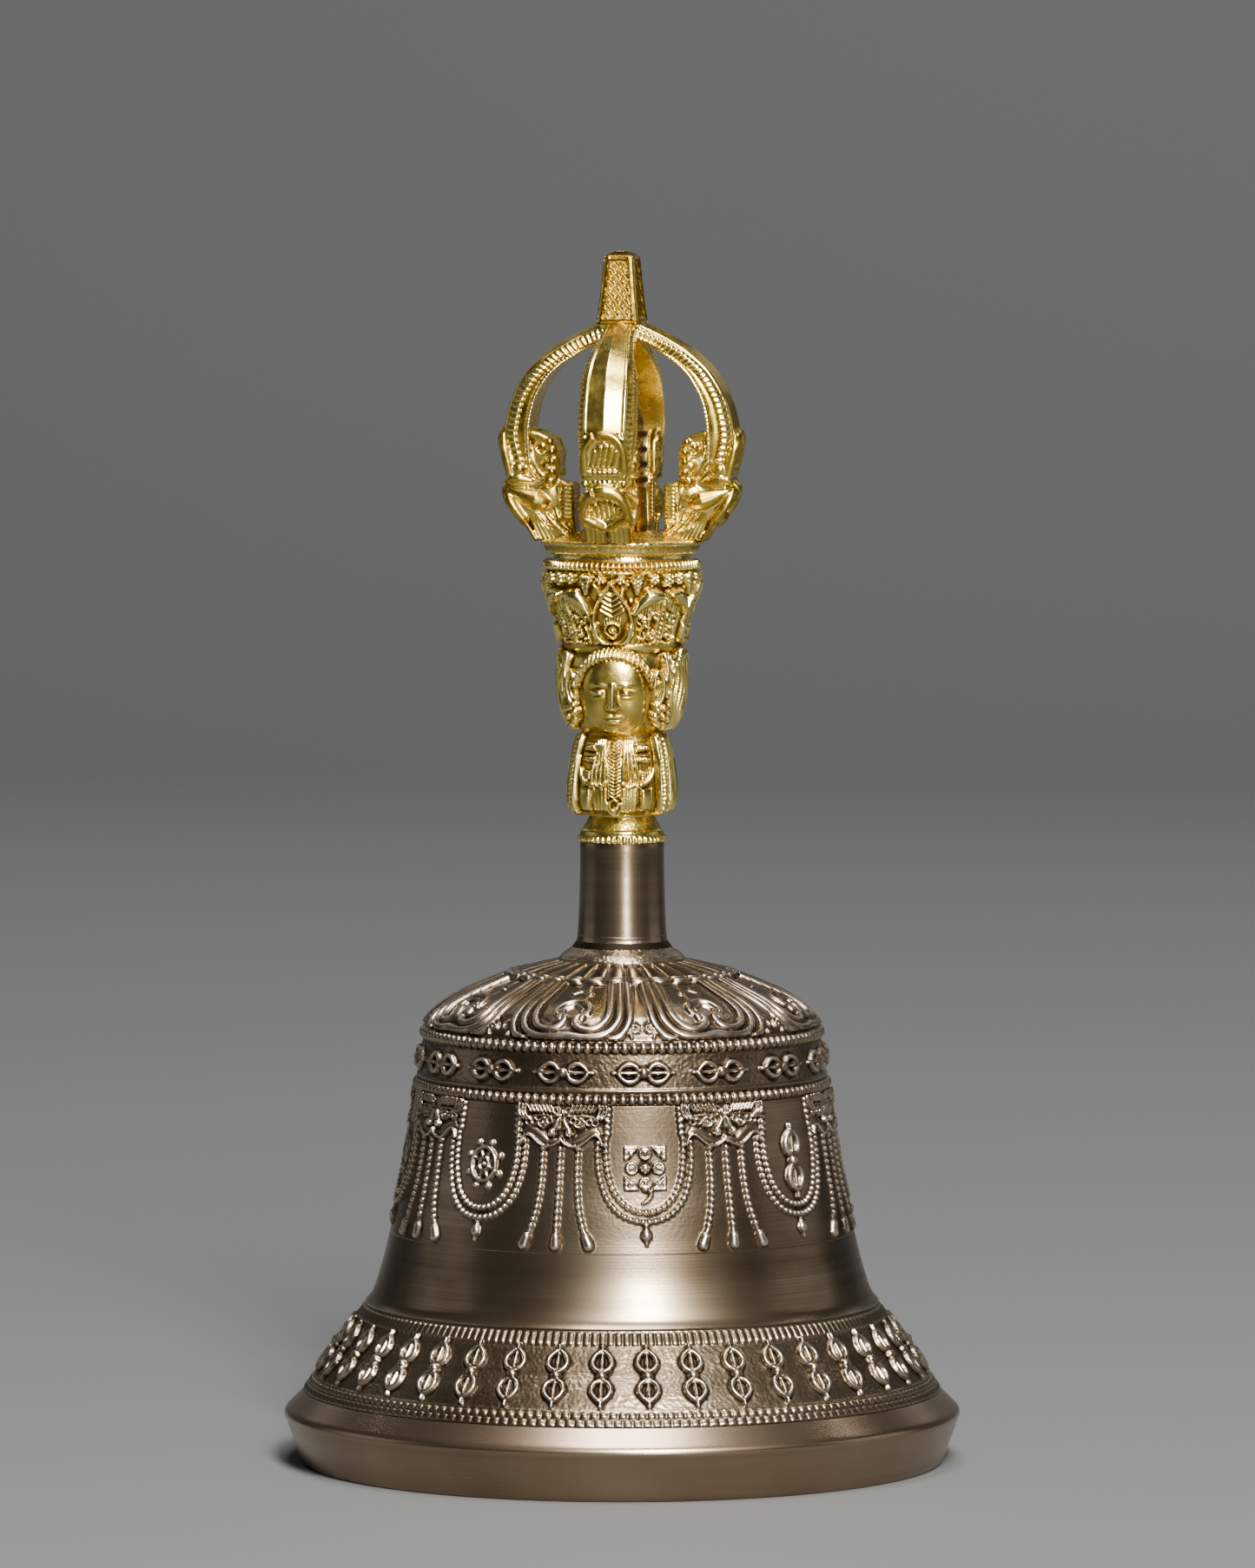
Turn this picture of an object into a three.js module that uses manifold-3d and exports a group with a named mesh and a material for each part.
// Tibetan hand bell (ghanta) with a half-vajra handle, in millimetres, +Z up.
// The origin is the centre of the mouth, on the surface that the bell stands on.
// The bell is one bronze casting with a hollow neck. A forged iron tang runs through the neck, set in
// pitch, and carries the gilt castings of the handle. Its lower end is an eye, from which a wire link
// and the clapper hang. The handle faces -Y.
import * as THREE from "three";
import { mergeVertices } from "three/addons/utils/BufferGeometryUtils.js";
import Module from "manifold-3d";

const wasm = await Module();
wasm.setup();

// ---- Driving dimensions ----
const GAP = 0.3; // clearance between neighbouring solids
const MOUTH_R = 50; // ridge of the lip, the widest place
const TOTAL_H = 178.9; // tip of the finial
const NECK_R = 6.2; // turned outside of the hollow neck
const NECK_TOP = 91.8;
const NECK_BORE_R = 4.2;
const NECK_BORE_FLOOR = 72; // the bore narrows to the tang's hole below this
const TANG_R = 1.6;
const TANG_HOLE_R = TANG_R + GAP;
const EYE_Z = 60; // centre of the tang's eye, inside the crown
const EYE_R = 3.2; // to the middle of the eye's wire
const EYE_WIRE_R = 1.0;
const LINK_R = 3.4; // to the middle of the link's wire
const LINK_WIRE_R = 0.8;
const CLAPPER_EYE_R = 2.6;
const CLAPPER_EYE_WIRE_R = 0.9;
const CLAPPER_BALL_R = 7.5;
const CLAPPER_BALL_Z = 14;
const FERRULE_TOP = 96.3;
const BUST_TOP = 107.6;
const HEAD_TOP = 134.2;
const PLATE_R = 11.7;
const PLATE_TOP = 136.4;
const PRONG_WIDTH = 6.6; // across each outer prong
const PRONG_REACH = 17.6; // outermost curve of an outer prong
const PRONG_TOP = 168; // where the outer prongs meet the finial

// ---- Where each hanging piece comes to rest ----
const EYE_BAR_Z = EYE_Z - EYE_R; // the link swings on this wire
const LINK_Z = EYE_BAR_Z + EYE_WIRE_R + LINK_WIRE_R + GAP - LINK_R;
const LINK_BAR_Z = LINK_Z - LINK_R; // the clapper swings on this wire
const CLAPPER_EYE_Z = LINK_BAR_Z + LINK_WIRE_R + CLAPPER_EYE_WIRE_R + GAP - CLAPPER_EYE_R;

// ---- Colours and finishes ----
const bronze = new THREE.MeshStandardMaterial({ color: 0x6f5d4b, roughness: 0.38, metalness: 1 });
const gilt = new THREE.MeshStandardMaterial({ color: 0xe0b040, roughness: 0.22, metalness: 1 });
const iron = new THREE.MeshStandardMaterial({ color: 0x3c3a38, roughness: 0.5, metalness: 1 });
const pitch = new THREE.MeshStandardMaterial({ color: 0x1d1512, roughness: 0.8, metalness: 0 });

// ---- Geometry helpers ----

// Turns a profile of [radius, height] points round the Z axis.
function turned(profile, segments) {
  const points = profile.map(([radius, height]) => new THREE.Vector2(radius, height));
  return new THREE.LatheGeometry(points, segments).rotateX(Math.PI / 2);
}

// A ring with a bore: the outside profile runs upwards, and the bore closes it.
function bored(outside, boreRadius, segments) {
  const [bottom, top] = [outside[0][1], outside[outside.length - 1][1]];
  return turned([[boreRadius, bottom], ...outside, [boreRadius, top], [boreRadius, bottom]], segments);
}

// Pushes a turned shape out towards a rounded square, and leaves its bore round.
function squared(geometry, boreRadius, cornerPush) {
  const position = geometry.getAttribute("position");
  for (let i = 0; i < position.count; i++) {
    const [x, y] = [position.getX(i), position.getY(i)];
    if (Math.hypot(x, y) <= boreRadius + 0.01) continue;
    const diagonal = Math.sin(2 * Math.atan2(y, x)) ** 2; // 0 on the axes, 1 at the corners
    const push = 1 + cornerPush * diagonal;
    position.setXY(i, x * push, y * push);
  }
  return geometry;
}

function toSolid(geometry) {
  const bare = geometry.clone();
  bare.deleteAttribute("normal");
  bare.deleteAttribute("uv");
  const merged = mergeVertices(bare, 1e-3);
  return new wasm.Manifold(
    new wasm.Mesh({
      numProp: 3,
      vertProperties: merged.getAttribute("position").array,
      triVerts: new Uint32Array(merged.index.array),
    }),
  );
}

function toGeometry(solid) {
  const mesh = solid.getMesh();
  const geometry = new THREE.BufferGeometry();
  geometry.setAttribute("position", new THREE.BufferAttribute(mesh.vertProperties, 3));
  geometry.setIndex(new THREE.BufferAttribute(mesh.triVerts, 1));
  geometry.computeVertexNormals();
  return geometry;
}

function joined(...geometries) {
  return toGeometry(geometries.map(toSolid).reduce((whole, next) => whole.add(next)));
}

// A wire ring that stands upright in the XZ plane.
function uprightRing(ringRadius, wireRadius, centreZ) {
  return new THREE.TorusGeometry(ringRadius, wireRadius, 10, 28)
    .rotateX(Math.PI / 2)
    .translate(0, 0, centreZ);
}

// ---- Bell ----

// Foot of the lip, ridge, chamfer, ornament band, flared waist, crown, neck ring and neck, upwards.
const BELL_OUTSIDE = [
  [47.2, 0],
  [47.7, 0.5],
  [MOUTH_R, 7.1],
  [49.9, 7.7],
  [49.3, 8.7],
  [45.8, 12.6],
  [43.9, 15.2],
  [41.6, 17.9],
  [39.8, 20.4],
  [37.9, 23],
  [36.5, 25.6],
  [35.6, 28.2],
  [34.9, 30.8],
  [33.6, 35.9],
  [32.8, 39.8],
  [32.1, 43.7],
  [31.5, 47.5],
  [30.9, 51.4],
  [30.3, 55.3],
  [29.9, 60.4],
  [29.3, 64.2],
  [28.6, 65.4],
  [27.4, 66.6],
  [24.3, 68.7],
  [18.7, 71.2],
  [13, 73.2],
  [8.9, 74.3],
  [8.6, 75.2],
  [7.2, 76.8],
  [6.7, 77.6],
  [6.4, 80],
  [NECK_R, 83.5],
  [NECK_R, NECK_TOP],
];
const BELL_INSIDE = [
  [NECK_BORE_R, NECK_TOP],
  [NECK_BORE_R, NECK_BORE_FLOOR],
  [TANG_HOLE_R, NECK_BORE_FLOOR],
  [TANG_HOLE_R, 69.4],
  [14, 68.6],
  [20.5, 67],
  [24.8, 64.2],
  [26.6, 60.5],
  [27.3, 55],
  [28.3, 47.5],
  [29.5, 40],
  [30.9, 33],
  [32.4, 28],
  [34.6, 23],
  [37.6, 17.5],
  [40.6, 11],
  [42.6, 4.5],
  [43.2, 0],
];

function bellShell() {
  return turned([...BELL_OUTSIDE, ...BELL_INSIDE, BELL_OUTSIDE[0]], 48);
}

// Pitch poured round the tang, up to the ferrule's spigot.
const PITCH_TOP = 87;
function neckFilling() {
  const outer = NECK_BORE_R - GAP;
  const outside = [
    [outer, NECK_BORE_FLOOR + GAP],
    [outer, PITCH_TOP],
  ];
  return bored(outside, TANG_HOLE_R, 24);
}

// Iron tang with its eye, up into the vajra's plate.
function hangerRod() {
  const [bottom, top] = [EYE_Z + EYE_R, PLATE_TOP - 1];
  const rod = new THREE.CylinderGeometry(TANG_R, TANG_R, top - bottom, 16)
    .rotateX(Math.PI / 2)
    .translate(0, 0, (top + bottom) / 2);
  return joined(rod, uprightRing(EYE_R, EYE_WIRE_R, EYE_Z));
}

// ---- Clapper ----

function clapperLink() {
  return uprightRing(LINK_R, LINK_WIRE_R, 0).rotateZ(Math.PI / 2).translate(0, 0, LINK_Z);
}

// Eight-sided shank that thickens into a faceted striker.
function clapper() {
  const shankTop = CLAPPER_EYE_Z - CLAPPER_EYE_R + 0.2;
  const profile = [
    [0, CLAPPER_BALL_Z - 6.2],
    [3.6, CLAPPER_BALL_Z - 5.4],
    [CLAPPER_BALL_R, CLAPPER_BALL_Z - 1.2],
    [CLAPPER_BALL_R, CLAPPER_BALL_Z + 1.2],
    [3, CLAPPER_BALL_Z + 9],
    [2.3, CLAPPER_BALL_Z + 14],
    [1.7, shankTop - 1],
    [1.3, shankTop],
    [0, shankTop],
  ];
  return joined(turned(profile, 8), uprightRing(CLAPPER_EYE_R, CLAPPER_EYE_WIRE_R, CLAPPER_EYE_Z));
}

// ---- Handle ----

// Spigot in the neck's bore, beaded rim on the neck's top, then a cone.
function handleFerrule() {
  const rimBottom = NECK_TOP + GAP;
  const outside = [
    [NECK_BORE_R - GAP, PITCH_TOP + GAP],
    [NECK_BORE_R - GAP, rimBottom],
    [6.3, rimBottom],
    [6.6, rimBottom + 0.6],
    [6.3, rimBottom + 1.3],
    [4.2, FERRULE_TOP - 0.6],
    [4, FERRULE_TOP],
  ];
  return bored(outside, TANG_HOLE_R, 36);
}

// Robed bust: a four-sided block with rounded shoulders.
function handleBust() {
  const outside = [
    [5.2, FERRULE_TOP + GAP],
    [7.2, FERRULE_TOP + 0.9],
    [7.9, FERRULE_TOP + 3.4],
    [7.4, FERRULE_TOP + 6.6],
    [6.5, FERRULE_TOP + 9.4],
    [4.6, BUST_TOP],
  ];
  return squared(bored(outside, TANG_HOLE_R, 40), TANG_HOLE_R, 0.12);
}

// Head, and the crown that flares to the vajra's seat.
function handleHead() {
  const outside = [
    [4.7, BUST_TOP + GAP],
    [6.6, 109.4],
    [8.5, 112.4],
    [9.5, 117.2],
    [9.2, 120],
    [8, 121.8],
    [8.3, 124],
    [9.4, 127.4],
    [10.7, 130.6],
    [11.2, 132.2],
    [11.75, 133],
    [11.2, 133.8],
    [10.8, HEAD_TOP],
  ];
  return bored(outside, TANG_HOLE_R, 36);
}

function vajraPlate() {
  const outside = [
    [10.9, HEAD_TOP + GAP],
    [PLATE_R, HEAD_TOP + 0.8],
    [PLATE_R, PLATE_TOP - 0.7],
    [9.4, PLATE_TOP],
  ];
  return bored(outside, TANG_HOLE_R, 36);
}

// Side view of one outer prong, in its own X (outwards) and Z plane: foot, animal head, then the rib
// that curves in to the finial.
function prongOutline() {
  const outline = new THREE.Shape();
  const foot = PLATE_TOP + GAP;
  outline.moveTo(6.4, foot);
  outline.lineTo(11.3, foot);
  outline.lineTo(14.6, 140.8);
  outline.quadraticCurveTo(17, 142.6, 16.4, 145.4);
  outline.quadraticCurveTo(PRONG_REACH + 0.9, 149.4, PRONG_REACH, 152.6);
  outline.bezierCurveTo(PRONG_REACH - 0.4, 158.4, 13.6, 164.6, 3.9, PRONG_TOP);
  outline.lineTo(3.9, PRONG_TOP - 2.6);
  outline.bezierCurveTo(8.6, 164.4, 12.4, 160, 12.2, 153.4);
  outline.quadraticCurveTo(8.7, 153.2, 8.9, 149.6);
  outline.quadraticCurveTo(9.6, 146.6, 7.6, 145.4);
  outline.quadraticCurveTo(6.2, 141.4, 6.4, foot);
  return outline;
}

function vajraProng(turn) {
  const options = { depth: PRONG_WIDTH, bevelEnabled: false, curveSegments: 6 };
  return new THREE.ExtrudeGeometry(prongOutline(), options)
    .translate(0, 0, -PRONG_WIDTH / 2)
    .rotateX(Math.PI / 2)
    .rotateZ(turn);
}

// Square centre prong, which ends in the tapered finial above the outer prongs.
function vajraCentreProng() {
  const profile = [
    [0, PLATE_TOP + GAP],
    [2.6, PLATE_TOP + GAP],
    [3.4, 140],
    [2.6, 143],
    [2.2, 152],
    [2.3, 164],
    [3.2, PRONG_TOP + 0.6],
    [2.1, TOTAL_H - 1],
    [1.6, TOTAL_H - 0.6],
    [0, TOTAL_H],
  ];
  const halfSideToCorner = Math.SQRT2;
  const corners = profile.map(([halfSide, height]) => [halfSide * halfSideToCorner, height]);
  return turned(corners, 4).rotateZ(Math.PI / 4);
}

// ---- Assembly ----
const handbell = new THREE.Group();

function place(name, geometry, material) {
  const mesh = new THREE.Mesh(geometry, material);
  mesh.name = name;
  handbell.add(mesh);
}

place("bell_shell", bellShell(), bronze);
place("neck_filling", neckFilling(), pitch);
place("hanger_rod", hangerRod(), iron);
place("clapper_link", clapperLink(), iron);
place("clapper", clapper(), iron);
place("handle_ferrule", handleFerrule(), gilt);
place("handle_bust", handleBust(), gilt);
place("handle_head", handleHead(), gilt);
place("vajra_plate", vajraPlate(), gilt);
["right", "back", "left", "front"].forEach((side, quarter) => {
  place(`vajra_prong_${side}`, vajraProng((quarter * Math.PI) / 2), gilt);
});
place("vajra_centre_prong", vajraCentreProng(), gilt);

export default handbell;
